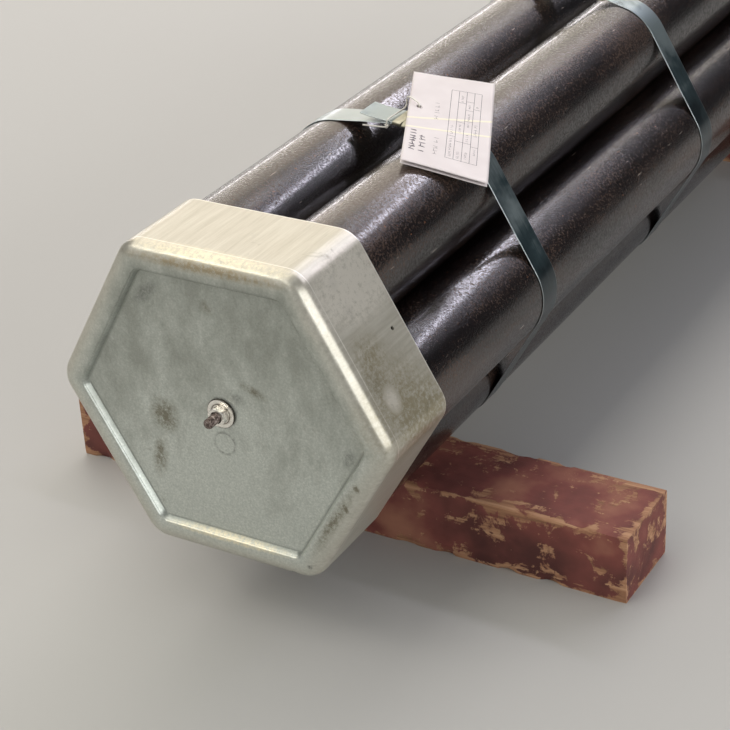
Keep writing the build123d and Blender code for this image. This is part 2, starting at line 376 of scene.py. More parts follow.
def buildCap(name, node, end, s):
    # end is -1 for the front cap and 1 for the rear one
    apothem = capApothem / millimetre
    fillet, width, height, sheet = s["rimFillet"], s["rimWidth"], s["rimHeight"], s["sheet"]
    outSlope, inSlope = s["rimSlope"]
    skirtRows, rimRows, wallRows, panelRows = s["rows"]
    panelDeep, panelLong, panelFade = s["panelWave"]
    skirtDeep, skirtRound, skirtLong, skirtFade = s["skirtWave"]

    def cornerAt(inset):
        if inset < fillet:
            return s["corner"] - inset
        share = min(1, (inset - fillet) / (width - fillet))
        return s["corner"] - fillet + (s["panelCorner"] - s["corner"] + fillet) * share

    def face(lift):
        # Profile of one side of the sheet, lift inside the outer one: (inset, back) pairs
        creaseAndGlare = s["creaseAt"]
        skirt = [s["depth"] - (s["depth"] - creaseAndGlare - 2) * k / skirtRows for k in range(skirtRows + 1)]
        profile = [(lift, back) for back in (*skirt, creaseAndGlare + 1, creaseAndGlare, creaseAndGlare - 1, fillet + 1)]
        radius = fillet - lift
        profile += [(fillet - radius * cos(a), fillet - radius * sin(a)) for a in quarterTurn(rimRows)]
        start, stop = width - outSlope + lift, width + inSlope + lift / 2
        for share in [k / wallRows for k in range(wallRows + 1)]:
            profile.append((start + (stop - start) * share, lift + height * ease(share)))
        return profile

    def place(flat, inset, back):
        # A point of the cap with its small dents
        x, z = flat
        if inset > width:
            wave = noise.noise(Vector((x / panelLong, z / panelLong, 3.1 * end)))
            back += panelDeep * wave * max(0, min(1, (inset - width - inSlope) / panelFade))
        else:
            swell = noise.noise(Vector((x / skirtRound, back / skirtLong, z / skirtRound + 9 * end)))
            dent = skirtDeep * swell * min(1, back / skirtFade) - s["skirtIn"]
            if abs(back - s["creaseAt"]) < 0.5:
                dent -= s["creaseDeep"]
            x, z = (value * (1 + min(0, dent) / apothem) for value in (x, z))
        y = (rimCrest / millimetre - back) * end
        return alongBundle(-x * end * millimetre, y * millimetre, z * millimetre)

    def outlineRing(inset, back):
        return [place(p, inset, back) for p in hexagonRing(apothem - inset, cornerAt(inset))]

    def panelRings(inset, back):
        # Hexagons that turn round towards the rod's hole, closer together near it
        edge = hexagonRing(apothem - inset, cornerAt(inset))
        rings = []
        for share in [k / panelRows for k in range(1, panelRows + 1)]:
            inward = ease(share) * 0.4 + share * 0.6
            spots = [p.lerp(p.normalized() * s["rodHole"], inward) for p in edge]
            rings.append([place(spot, width + 2 * panelFade * share, back) for spot in spots])
        return rings

    outer, inner = face(0), face(sheet)
    rings = [outlineRing(*spot) for spot in outer] + panelRings(*outer[-1])
    rings += reversed(panelRings(*inner[-1]))
    rings += [outlineRing(*spot) for spot in reversed(inner)]
    across, fromOpen, turn = s["screwHole"]
    out = Vector((-end * cos(radians(turn)), 0, sin(radians(turn))))
    level = rimCrest - (s["depth"] - fromOpen) * millimetre
    points, faces, _ = pierce(
        *bridge(rings, looped=True),
        centre=alongBundle(out.x * capApothem, level * end, out.z * capApothem),
        axis=out,
        radius=across / 2 * millimetre,
        layers=(0, -sheet * millimetre),
        walled=True,
    )
    piece = addMesh(name, points, faces, sharp=50)
    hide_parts(node)
    return piece


bothEnds = (("front", -1), ("rear", 1))
caps = [buildCap("pressedCap_" + side, "end_cap_" + side, end, capSettings) for side, end in bothEnds]
print("caps pressed")


# Pipes
pipeSettings = {  # millimetres
    "wall": 6.35,
    "segments": 96,
    "rows": 75,
    "waver": 0.12,  # how far the drawn surface strays from a true round
    "waverLength": 180,
    "waverRound": 57 / 35,  # the pipe's radius over the length of a swell round it
    "waverApart": 50,  # keeps one pipe's swells unlike the next one's
}


def buildPipe(node, s):
    low, high = (Vector(corner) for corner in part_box(node))
    middle = (low + high) / 2
    radius = (high.x - low.x) / 2
    wall = s["wall"] * millimetre
    seed = Vector((middle.x, middle.z, 0)) * s["waverApart"]
    lengthwise = 1 / (s["waverLength"] * millimetre)

    def ring(y, size, rough):
        points = []
        for angle in allRound(s["segments"]):
            across, up = cos(angle), sin(angle)
            spot = seed + Vector((across * s["waverRound"], y * lengthwise, up * s["waverRound"]))
            reach = size - rough * s["waver"] * millimetre * (0.5 + noise.noise(spot))
            points.append(Vector((middle.x + reach * across, y, middle.z + reach * up)))
        return points

    places = [low.y + (high.y - low.y) * k / s["rows"] for k in range(s["rows"] + 1)]
    rings = [ring(y, radius, 1) for y in places]
    rings += [ring(y, radius - wall, 0) for y in (high.y, middle.y, low.y)]
    piece = addMesh(node.replace("pipe", "steelPipe"), *bridge(rings, looped=True))
    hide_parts(node)
    return piece


pipes = [buildPipe(node, pipeSettings) for node in sorted(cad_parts) if node.startswith("pipe_")]
print("pipes drawn")


# Tie rod, nuts and washers
fastenerSettings = {  # millimetres
    "rod": 10,
    "rodSegments": 28,
    "pitch": 1.5,
    "threadDepth": 0.8,
    "threadRun": 34,  # how far each thread runs in from the rod's end
    "rowsPerTurn": 8,
    "chamfer": 1.2,
    "chamferSlope": 0.9,
    "segments": 96,  # round the nuts and washers
    "nutAcross": 17,
    "nutTurn": 12,
    "nutCone": 30,
    "coneStart": 0.97,  # share of the nut's half width where its cone meets each side
    "coneRows": 5,
    "boreSlack": 0.12,  # between a nut's bore and the rod
    "boreSink": 1.0,  # countersink of the bore
    "washer": 30,
    "washerHole": 10.6,
    "washerRound": 0.7,
    "washerLip": ((0, 0.4), (0.3, 0.1), (0.7, 0)),  # out from the hole's wall, under the top face
    "washerFoot": (0.25, 0.3),  # in from the rim, up from the underside
}


def closeEnds(points, faces, count, rings):
    # End faces across the first and the last ring
    last = (rings - 1) * count
    return points, faces + [tuple(range(count)), tuple(range(last, last + count))]


def buildRod(s):
    low, high = (Vector(corner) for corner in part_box("tie_rod"))
    length = (high.y - low.y) / millimetre
    radius, count, run = s["rod"] / 2, s["rodSegments"], s["threadRun"]
    step = s["pitch"] / s["rowsPerTurn"]
    threadRows = int(run / step)
    places = [k * step for k in range(threadRows)]
    places += [run + 2 * s["pitch"], length / 2, length - run - 2 * s["pitch"]]
    places += [length - run + k * step for k in range(1, threadRows + 1)]
    rings = []
    for place in places:
        fromEnd = min(place, length - place)
        ring = []
        for k, angle in enumerate(allRound(count)):
            phase = (place / s["pitch"] - k / count) % 1
            groove = s["threadDepth"] * abs(2 * phase - 1) if fromEnd < run else 0
            reach = min(radius - groove, radius - s["chamfer"] + fromEnd * s["chamferSlope"])
            ring.append(roundAxis(reach, angle, low.y + place * millimetre))
        rings.append(ring)
    piece = addMesh("threadedRod", *closeEnds(*bridge(rings), count, len(rings)), sharp=60)
    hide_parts("tie_rod")
    return piece


def buildNut(node, end, s):
    low, high = (Vector(corner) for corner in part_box(node))
    height = (high.y - low.y) / millimetre
    seat = low.y if end > 0 else high.y
    flat, corner = s["nutAcross"] / 2, s["nutAcross"] / sqrt(3)
    lean = tan(radians(s["nutCone"]))
    face = flat * s["coneStart"]
    depths = [(corner - face) * lean * k / s["coneRows"] for k in range(s["coneRows"] + 1)]

    def ring(depth, size=None):
        # A circle of this size, or else the six sides cut back by the cones
        points = []
        for angle in allRound(s["segments"]):
            turn = (angle - radians(s["nutTurn"]) + pi / 6) % (pi / 3) - pi / 6
            reach = size or min(flat / cos(turn), face + min(depth, height - depth) / lean)
            points.append(roundAxis(reach, angle, seat + end * depth * millimetre))
        return points

    rings = [ring(depth) for depth in depths] + [ring(height - depth) for depth in reversed(depths)]
    bore, sink = s["rod"] / 2 + s["boreSlack"], s["boreSink"]
    for depth, size in ((height, bore + sink), (height - sink, bore), (sink, bore), (0, bore + sink)):
        rings.append(ring(depth, size))
    piece = addMesh(node.replace("nut", "hexNut"), *bridge(rings, looped=True), sharp=28)
    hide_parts(node)
    return piece


def buildWasher(node, end, s):
    low, high = (Vector(corner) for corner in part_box(node))
    thick = (high.y - low.y) / millimetre
    seat = low.y if end > 0 else high.y
    hole, rim, soft = s["washerHole"] / 2, s["washer"] / 2, s["washerRound"]
    profile = [(hole, 0)] + [(hole + out, thick - down) for out, down in s["washerLip"]]
    profile += [(rim - soft + soft * sin(a), thick - soft + soft * cos(a)) for a in quarterTurn(6)]
    footIn, footUp = s["washerFoot"]
    profile += [(rim, footUp), (rim - footIn, 0)]
    rings = []
    for angle in allRound(s["segments"]):
        rings.append([roundAxis(reach, angle, seat + end * lift * millimetre) for reach, lift in profile])
    piece = addMesh(node.replace("washer", "flatWasher"), *bridge(rings, looped=True), sharp=40)
    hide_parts(node)
    return piece


rod = buildRod(fastenerSettings)
fasteners = []
for side, end in bothEnds:
    fasteners.append(buildNut("nut_" + side, end, fastenerSettings))
    fasteners.append(buildWasher("washer_" + side, end, fastenerSettings))
print("rod, nuts and washers turned")


# Straps and their seals
strap = {  # millimetres
    "width": 31.75,
    "thickness": 0.9,
    "gap": 0.2,  # off the pipes
    "rise": 6.0,  # degrees by which it climbs from the top left pipe to its seal
    "kink": 12,  # bend radius beside the seal
    "tail": 38,  # free end past the seal
    "tailCurl": (18, 1.2),  # length of the curled tip, and how far it lifts
    "edge": 0.25,  # rounding of its edges
    "cup": 0.12,  # how far its middle bulges out
    "stray": (0.25, 60),  # how far the band wanders along the pipes, and over what length
    "arcStep": 4,  # degrees
    "longest": 4,  # most that two sections stand apart
    "sealLength": 40,
    "sealSheet": 1.0,
    "sealClearance": 0.15,
    "sealLeft": 8.0,  # its left end, from the bundle's middle
    "sealTilt": -5.0,  # degrees
    "sealLead": 1.5,  # the outer layer bends this far past the seal, the inner one ends as far inside it
    "sealSeam": 6.0,  # between its lips underneath
    "sealBend": 1.1,  # radius of its folded edges
    "sealFlare": 0.25,  # how far its ends flare
    "sealPress": 0.3,  # how far the crimping tool pressed the top down
    "sealSoft": 0.4,  # length over which the sheet bends into a notch
    "notchLength": 5.0,
    "notchDepth": 3.6,
    "notchStations": (0.3, 0.7),  # shares of the seal's length
    "tabLean": 24,  # degrees
    "tabReach": 0.6,  # past the seal's side, in thicknesses of its sheet
    "tabSlit": 0.3,  # clear at each end of a tab
    "tabSink": 0.35,  # hinge of a tab, below the seal's top
}
pack = {  # millimetres, on the bundle's axis
    "radius": pipeRadius / millimetre,
    "apothem": (rowRise + pipeRadius) / millimetre,
    "topLeft": Vector((-pipePitch / 2, rowRise)) / millimetre,
    "topRight": Vector((pipePitch / 2, rowRise)) / millimetre,
}


def touching(centre, radius, angle):
    return centre + radius * heading(angle), heading(angle + pi / 2)


def meet(first, second):
    (a, along), (b, other) = first, second
    return a + (b - a).cross(other) / along.cross(other) * along


bandRadius = pack["radius"] + strap["gap"]
layerStep = strap["thickness"] + strap["sealClearance"]
liftAngle = radians(90 + strap["rise"])
sealLeft = Vector((strap["sealLeft"], 0)), Vector((0, 1))
sealStart = meet(touching(pack["topLeft"], bandRadius, liftAngle), sealLeft)
sealDir = heading(radians(strap["sealTilt"]))
sealUp = heading(radians(strap["sealTilt"] + 90))
sealRise = 2 * strap["thickness"] + 3 * strap["sealClearance"]


def onSeal(distance, height):
    return sealStart + distance * sealDir + height * sealUp


sealExit = onSeal(strap["sealLength"] + strap["sealLead"], layerStep) - pack["topRight"]
fallAngle = atan2(sealExit.y, sealExit.x) - acos(bandRadius / sealExit.length)


def bandRun(out):
    # Corners and bend radii of the line that lies this far outside the band's underside
    reach = pack["apothem"] + strap["gap"] + out
    sides = [touching(Vector((0, 0)), reach, radians(turn)) for turn in (30, -30, -90, -150, -210)]
    lift = touching(pack["topLeft"], bandRadius + out, liftAngle)
    fall = touching(pack["topRight"], bandRadius + out, fallAngle)
    lines = [(onSeal(0, layerStep + out), sealDir), fall, *sides, lift, (onSeal(0, out), sealDir)]
    corners = [meet(a, b) for a, b in zip(lines, lines[1:])]
    ends = onSeal(-strap["tail"], layerStep + out), onSeal(strap["sealLength"] - strap["sealLead"], out)
    radii = [strap["kink"] + out] + [bandRadius + out] * (len(corners) - 2) + [strap["kink"] + out]
    return [ends[0], *corners, ends[1]], radii


def rounded(points, radii, step):
    # Points and directions along a line whose corners are rounded
    samples = [(points[0], (points[1] - points[0]).normalized())]
    for before, corner, after, radius in zip(points, points[1:], points[2:], radii):
        into, out = (corner - before).normalized(), (after - corner).normalized()
        turn = atan2(into.cross(out), into.dot(out))
        side = 1 if turn > 0 else -1
        start = corner - into * radius * tan(abs(turn) / 2)
        centre = start + side * radius * Vector((-into.y, into.x))
        count = max(2, round(abs(turn) / radians(step)))
        for k in range(count + 1):
            swing = Matrix.Rotation(turn * k / count, 2)
            samples.append((centre + swing @ (start - centre), swing @ into))
    samples.append((points[-1], (points[-1] - points[-2]).normalized()))
    return samples


def spread(samples, longest):
    # Adds samples so that none is further apart than longest
    result = [samples[0]]
    for place, along in samples[1:]:
        start = result[-1][0]
        count = int((place - start).length / longest)
        result += [(start.lerp(place, k / (count + 1)), along) for k in range(1, count + 1)]
        result.append((place, along))
    return result


def inNotch(place):
    along, half = (place - sealStart).dot(sealDir), strap["notchLength"] / 2
    return any(abs(along - share * strap["sealLength"]) < half for share in strap["notchStations"])


def bandSection(half):
    # The flat band's section, with eased edges and a slight cup: (across, height) pairs
    edge, up, cup = strap["edge"], strap["thickness"] / 2, strap["cup"]
    top = [(across, up + cup) for across in (-half / 2, 0, half / 2)]
    under = [(across, cup - up) for across in (half / 2, 0, -half / 2)]
    left = [(edge - half, -up), (-half, edge - up), (-half, up - edge), (edge - half, up)]
    right = [(-across, -height) for across, height in left]
    return left[1:] + top + right + under + left[:1]


def bandRing(place, along, y, half, lift=0):
    outward = Vector((-along.y, along.x))
    ring = []
    for across, height in bandSection(half):
        spot = place + outward * (height + lift)
        ring.append(alongBundle(spot.x * millimetre, y + across * millimetre, spot.y * millimetre))
    return ring


def buildStrap(number):
    y = middleOf(f"strap_{number}").y
    points, radii = bandRun(strap["thickness"] / 2)
    samples = spread(rounded(points, radii, strap["arcStep"]), strap["longest"])
    curled, lifted = strap["tailCurl"]
    stray, strayLong = strap["stray"]
    rings, travelled, run = [], [], 0
    for place, along in samples:
        half = strap["width"] / 2 - (strap["notchDepth"] if inNotch(place) and place.y > 0 else 0)
        fromTip = (place - points[0]).length
        onTail = fromTip < curled and along.dot(sealDir) > 0.9
        lift = lifted * (1 - fromTip / curled) ** 2 if onTail else 0
        aside = stray * noise.noise(Vector((place.x / strayLong, place.y / strayLong, number * 7)))
        rings.append(bandRing(place, along, y + aside * millimetre, half, lift))
        run += (place - samples[max(0, len(travelled) - 1)][0]).length
        travelled.append(run)
    piece = addMesh(f"steelStrap{number}", *closeEnds(*bridge(rings), len(rings[0]), len(rings)), sharp=40)
    uv = piece.data.uv_layers.new(name="band")
    section = bandSection(strap["width"] / 2)
    for loop in piece.data.loops:
        row, k = divmod(loop.vertex_index, len(section))
        uv.data[loop.index].uv = (section[k][0], travelled[row])
    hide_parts(f"strap_{number}")
    return piece


def sealPoint(distance, across, height, y):
    spot = onSeal(distance, height)
    return alongBundle(spot.x * millimetre, y + across * millimetre, spot.y * millimetre)


def buildSeal(number):
    y = middleOf(f"strap_{number}").y
    sheet, clear, bend = strap["sealSheet"], strap["sealClearance"], strap["sealBend"]
    length, deep, notchHalf = strap["sealLength"], strap["notchDepth"], strap["notchLength"] / 2
    flared, pressed, soft = strap["sealFlare"], strap["sealPress"], strap["sealSoft"]
    low, high = -clear - sheet, sealRise - clear + sheet
    notches = [share * length for share in strap["notchStations"]]

    def section(pinch, press):
        half = strap["width"] / 2 + clear + sheet - pinch
        top, seam, wall = high - press, strap["sealSeam"] / 2, half - sheet
        right = [(seam, low)]
        right += [(half - bend + bend * sin(a), low + bend - bend * cos(a)) for a in quarterTurn(4)]
        right += [(half - bend + bend * cos(a), top - bend + bend * sin(a)) for a in quarterTurn(4)]
        right.append((half * 0.5, top))
        inside = [(half * 0.5, top - sheet), (wall, top - sheet), (wall, low + sheet), (seam, low + sheet)]
        left, leftInside = ([(-x, height) for x, height in reversed(run)] for run in (right, inside))
        return right + left + leftInside + inside

    stations = [(0, 0), (soft, 0)]
    for middle in notches:
        start, stop = middle - notchHalf, middle + notchHalf
        stations += [(start - soft, 0), (start, 1), (middle, 1), (stop, 1), (stop + soft, 0)]
    stations += [(length - soft, 0), (length, 0)]
    rings = []
    for distance, pinched in stations:
        flare = flared if distance in (0, length) else 0
        outline = section(pinched * deep - flare, pressed * pinched)
        rings.append([sealPoint(distance, across, height, y) for across, height in outline])
    points, faces = closeEnds(*bridge(rings), len(rings[0]), len(rings))
    # Tabs that the crimping tool cut and folded, down on one edge and up on the other
    box = ((0, 1, 2, 3), (7, 6, 5, 4), (0, 4, 5, 1), (1, 5, 6, 2), (2, 6, 7, 3), (3, 7, 4, 0))
    hinge, reach = strap["width"] / 2 + clear - deep, deep + sheet * strap["tabReach"]
    tabHalf = notchHalf - strap["tabSlit"]
    for middle in notches:
        for side in (-1, 1):
            lean = radians(strap["tabLean"]) * side
            base = len(points)
            for distance in (middle - tabHalf, middle + tabHalf):
                for out, up in ((0, 0), (reach, 0), (reach, -sheet), (0, -sheet)):
                    across = hinge + out * cos(lean) + up * sin(lean)
                    height = high - strap["tabSink"] + out * sin(lean) + up * cos(lean)
                    points.append(sealPoint(distance, side * across, height, y))
            faces += [tuple(base + k for k in quad) for quad in box]
    piece = addMesh(f"crimpSeal{number}", points, faces, sharp=35)
    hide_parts(f"seal_{number}")
    return piece


straps = [buildStrap(number) for number in (1, 2, 3)]
seals = [buildSeal(number) for number in (1, 2, 3)]
print("straps tightened and sealed")


# Tag: a card folded double, with a generic printed form
tagSettings = {  # millimetres
    "width": 86,
    "length": 178,
    "sheet": 0.35,
    "opening": 1.1,  # clear between its two leaves
    "gape": 2.4,  # how much further the loose edges stand apart
    "lift": 8.3,  # its middle over the top of the pipes
    "shift": (60.4, 5.7),  # its middle from the bundle's, across and behind the first strap
    "tilt": 15.8,  # degrees that it leans
    "tiltHeading": -10.8,  # degrees from the right, in plan, towards which it leans
    "spin": 23.6,  # degrees from the right, in plan, of its short edges
    "hole": (-32.6, 20.1, 2.5),  # across and along from its middle, radius
    "pull": {  # how the card's corners stray from flat: x, y and z
        (-1, 1): (0, -0.1, -1.3),
        (1, 1): (-0.9, -0.4, 1.7),
        (1, -1): (0.2, 0.9, -3.9),
        (-1, -1): (1.4, -0.2, 4.1),
    },
    "curl": 0.8,  # how far its face swells
    "cells": (36, 74),  # across and along
    "foldSteps": 8,
    "backShare": 0.994,  # width of the leaf under it, which keeps its edges a little in
    "curlLong": (60, 90),
    "bow": 0.3,  # how far the card bows along its length, as a share of its curl
    "clear": 0.1,  # left over the pipe
    "gapeFrom": 0.6,  # share of the card's length over which the loose edges stand apart
    "inkHeight": 0.03,  # over the card
    "inkStep": 4,  # between two points along a line
    "rule": 0.45,  # width of the table's lines
    "columns": (-1, 7, 15, 23, 30.5),  # of the table, across
    "rows": (64, -64),  # its two ends, along
    "crossRules": ((-22,), (-30, 6, 42), (-30, 10, 30, 46), (-34, 34)),  # along, by column
    "pen": 0.35,  # width of a stroke of weight 1
    "strokes": (  # place across, start and stop along, size, weight
        (-34, -64, -27, 6.5, 3.1),
        (-24.5, -64, -33, 6.5, 3.1),
        (-11, -63, -27, 5, 1.2),
        (-13.5, 3, 38, 5, 1.2),
        (3, -60, -26, 3, 1),
        (3, -18, -2, 3, 1),
        (11, -60, -48, 3, 1),
        (11, -12, 2, 2.5, 1),
        (11, 44, 56, 3, 1),
        (19, -58, -46, 3, 1),
        (19, -26, -14, 3, 1),
        (19, 0, 24, 2.5, 1),
        (19, 34, 40, 3, 1.5),
        (27, -48, -38, 2.5, 1),
        (27, -14, 8, 4, 1),
        (27, 38, 41, 3, 1.5),
        (-30, 16, 20, 3, 1.2),
    ),
}


def tagFrame(s):
    up = Vector((0, 0, 1))
    up.rotate(Euler((0, radians(s["tilt"]), 0)))
    up.rotate(Euler((0, 0, radians(s["tiltHeading"]))))
    across = heading(radians(s["spin"])).to_3d()
    across = (across - across.dot(up) * up).normalized()
    shiftX, shiftY = s["shift"]
    centre = Vector((shiftX, 0, pack["apothem"] + s["lift"])) * millimetre
    centre = alongBundle(*centre) + Vector((0, middleOf("strap_1").y + shiftY * millimetre, 0))
    return centre, across, up.cross(across), up


tagCentre, tagAcross, tagAlong, tagUp = tagFrame(tagSettings)


def tagPoint(u, v, depth=0):
    # Point of the card, u across and v along it from its middle, depth under its front face
    s = tagSettings
    shareU, shareV = u / s["width"] + 0.5, v / s["length"] + 0.5
    pull = Vector((0, 0, 0))
    for (sideU, sideV), stray in s["pull"].items():
        weight = (shareU if sideU > 0 else 1 - shareU) * (shareV if sideV > 0 else 1 - shareV)
        pull += weight * Vector(stray)
    curlU, curlV = s["curlLong"]
    thick = s["opening"] + 2 * s["sheet"]
    curl = s["curl"] * (noise.noise(Vector((u / curlU, v / curlV, 4))) - s["bow"] * sin(pi * shareV))
    apart = s["gape"] * ease(max(0, s["gapeFrom"] - shareV) / s["gapeFrom"])
    curl += apart * (0.35 - depth / thick)  # the upper leaf takes a third of it, the lower one the rest
    place = tagCentre + (tagAcross * u + tagAlong * v + tagUp * (curl - depth) + pull) * millimetre
    # The card bends where it would sink into the pipe under it
    axis = Vector((pipePitch / 2, axisHeight + rowRise))
    out = Vector((place.x, place.z)) - axis
    least = pipeRadius + (thick - depth + s["clear"]) * millimetre
    if out.length < least:
        out = out.normalized() * least
        place.x, place.z = axis.x + out.x, axis.y + out.y
    return place


def buildTag(s):
    wide, high = s["cells"]
    fold = (s["opening"] + 2 * s["sheet"]) / 2
    reach = s["length"] / 2
    holeU, holeV, holeSize = s["hole"]
    strip = [(-reach + (s["length"] - fold) * k / high, 0) for k in range(high + 1)]
    bends = [pi * k / s["foldSteps"] for k in range(1, s["foldSteps"])]
    strip += [(reach - fold + fold * sin(a), fold - fold * cos(a)) for a in bends]
    strip += [(v, 2 * fold) for v, depth in reversed(strip[: high + 1])]
    rings = []
    for v, depth in strip:
        half = s["width"] / 2 * (1 if depth < fold else s["backShare"])
        rings.append([tagPoint(half * (2 * k / wide - 1), v, depth) for k in range(wide + 1)])
    centre = tagPoint(holeU, holeV)
    axis = (centre - tagPoint(holeU, holeV, 2 * fold)).normalized()
    points, faces, used = pierce(
        *bridge(rings, closed=False), centre, axis, holeSize * millimetre, (0, -2 * fold * millimetre)
    )
    piece = addMesh("paperTag", points, faces, sharp=70)
    uv = piece.data.uv_layers.new(name="card")
    flat = {}
    for row, (v, depth) in enumerate(strip):
        for k in range(wide + 1):
            away = 1000 if depth > fold else 0  # the creases are on the upper leaf only
            flat[row * (wide + 1) + k] = ((2 * k / wide - 1) * s["width"] / 2, v + away)
    for loop in piece.data.loops:
        uv.data[loop.index].uv = flat.get(used[loop.vertex_index], (holeU, holeV))
    thick = piece.modifiers.new("sheet", "SOLIDIFY")
    thick.thickness = s["sheet"] * millimetre
    thick.offset = -1
    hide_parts("tag")
    return piece


def buildPrint(s):
    # The form's ruled table and its lines of plain strokes, as thin strips of ink on the card
    points, faces = [], []

    def strip(u0, v0, u1, v1, wide):
        along = Vector((u1 - u0, v1 - v0))
        side = Vector((-along.y, along.x)).normalized() * wide / 2
        count = max(1, int(along.length / s["inkStep"]))
        base = len(points)
        for k in range(count + 1):
            spot = Vector((u0, v0)) + along * k / count
            points.extend(tagPoint(*(spot + w * side), -s["inkHeight"]) for w in (-1, 1))
        faces.extend([base + 2 * k + corner for corner in (0, 1, 3, 2)] for k in range(count))

    columns, (top, bottom) = s["columns"], s["rows"]
    for u in columns:
        strip(u, bottom, u, top, s["rule"])
    for left, right, places in zip(columns, columns[1:], s["crossRules"]):
        for v in (bottom, *places, top):
            strip(left, v, right, v, s["rule"])
    random = Random(7)

    def stray():
        return random.uniform(-0.4, 0.4) * size

    for u, start, stop, size, weight in s["strokes"]:
        v, pen = start, s["pen"] * weight
        while v < stop:
            run = min(size * random.uniform(0.35, 0.9), stop - v)
            for _ in range(3 if weight > 2 else 1):  # heavy ones are gone over three times
                lean = stray() * 0.3
                strip(u - size / 2, v, u + size / 2 * random.uniform(0.4, 1), v + lean, pen)
            if random.random() < 0.6:
                strip(u + stray(), v, u + stray(), v + run, pen)
            v += run + size * (0.25 if random.random() < 0.75 else 0.9)
    piece = addMesh("tagInk", points, faces)
    return piece


paperTag = buildTag(tagSettings)
tagInk = buildPrint(tagSettings)
print("tag folded and printed")


# Timber bearers
bearerSettings = {  # millimetres
    "edge": 3.0,  # rounding of the long edges
    "rough": (0.5, 60, 3),  # depth of the grain, its length and its width
    "saw": (0.175, 9),  # depth of the saw's marks, and how far apart they are
    "sway": (4, 60, 24),  # how far they wander, and over what length and width
    "chip": (12.0, 22, 9, 12),  # depth, length and width of a chip, and how far it reaches from an edge
    "chipFrom": 0.12,  # value of its noise at which a chip starts
    "underRough": 0.15,  # share of the roughness that is left on the worn underside
    "cells": (22, 17, 150),  # across, up and along
    "endShells": (0.96, 0.85, 0.7, 0.5, 0.3, 0.12),  # rings of points on the sawn ends
    "endRough": 0.4,
}


def buildBearer(node, s, seed):
    low, high = (Vector(corner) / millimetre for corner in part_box(node))
    middle = (low + high) / 2
    half = (high - low) / 2
    edge = s["edge"]
    acrossCells, upCells, rows = s["cells"]
    rough, grainLong, grainWide = s["rough"]
    sawDeep, sawPitch = s["saw"]
    sway, swayLong, swayWide = s["sway"]
    chipDeep, chipLong, chipWide, chipReach = s["chip"]

    def outline():
        # Round the section from its lower front corner, in shares of its half width and half height
        corners = [Vector(signs) for signs in ((-1, -1), (1, -1), (1, 1), (-1, 1), (-1, -1))]
        ring = []
        for a, b, cells in zip(corners, corners[1:], (acrossCells, upCells) * 2):
            ring += [a.lerp(b, k / cells) for k in range(cells)]
        return ring

    def place(x, across, up):
        y, z = across * half.y, up * half.z
        # Rounded corner
        outY, outZ = abs(y) - (half.y - edge), abs(z) - (half.z - edge)
        if outY > 0 and outZ > 0:
            size = sqrt(outY * outY + outZ * outZ)
            y = (half.y - edge + outY * edge / size) * (1 if y > 0 else -1)
            z = (half.z - edge + outZ * edge / size) * (1 if z > 0 else -1)
        fromEdges = half.y - abs(y), half.z - abs(z)
        nearEdge = max(0, 1 - min(fromEdges) / chipReach) * max(0, 1 - max(fromEdges) / chipReach)
        wander = sway * noise.noise(Vector((x / swayLong, y / swayWide, z / swayWide + seed * 5)))
        grain = 0.5 + 0.5 * noise.noise(Vector((x / grainLong, y / grainWide, z / grainWide + seed)))
        sawn = 0.5 + 0.5 * sin(2 * pi * (x + wander) / sawPitch)
        flaw = noise.noise(Vector((x / chipLong, y / chipWide, z / chipWide + seed * 5)))
        depth = rough * grain + sawDeep * sawn + chipDeep * max(0, flaw - s["chipFrom"]) * nearEdge
        spot = Vector((x, y, z))
        length = max(1, Vector((y / half.y, z / half.z)).length)
        squeeze = 1 - depth / max(half.y, half.z) / length
        spot.y *= squeeze
        # Its underside is worn flat
        spot.z = max(-half.z, spot.z * squeeze) if up > -1 else -half.z + depth * s["underRough"]
        return (middle + spot) * millimetre

    section = outline()
    rings = []
    for k in range(rows + 1):
        x = -half.x + 2 * half.x * k / rows
        rings.append([place(x, across, up) for across, up in section])
    for x, order in ((-half.x, 1), (half.x, -1)):
        for size in s["endShells"]:
            shell = []
            for across, up in section:
                bump = s["endRough"] * noise.noise(Vector((across * 4, up * 4, seed)))
                shell.append(place(x + order * bump, across * size, up * size))
            if order > 0:
                rings.insert(0, shell)
            else:
                rings.append(shell)
    points, faces = closeEnds(*bridge(rings), len(section), len(rings))
    piece = addMesh(node.replace("bearer", "timberBearer"), points, faces, sharp=55)
    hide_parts(node)
    return piece


bearers = [
    buildBearer("bearer_" + side, bearerSettings, seed) for seed, (side, _) in enumerate(bothEnds, start=1)
]
print("bearers sawn")


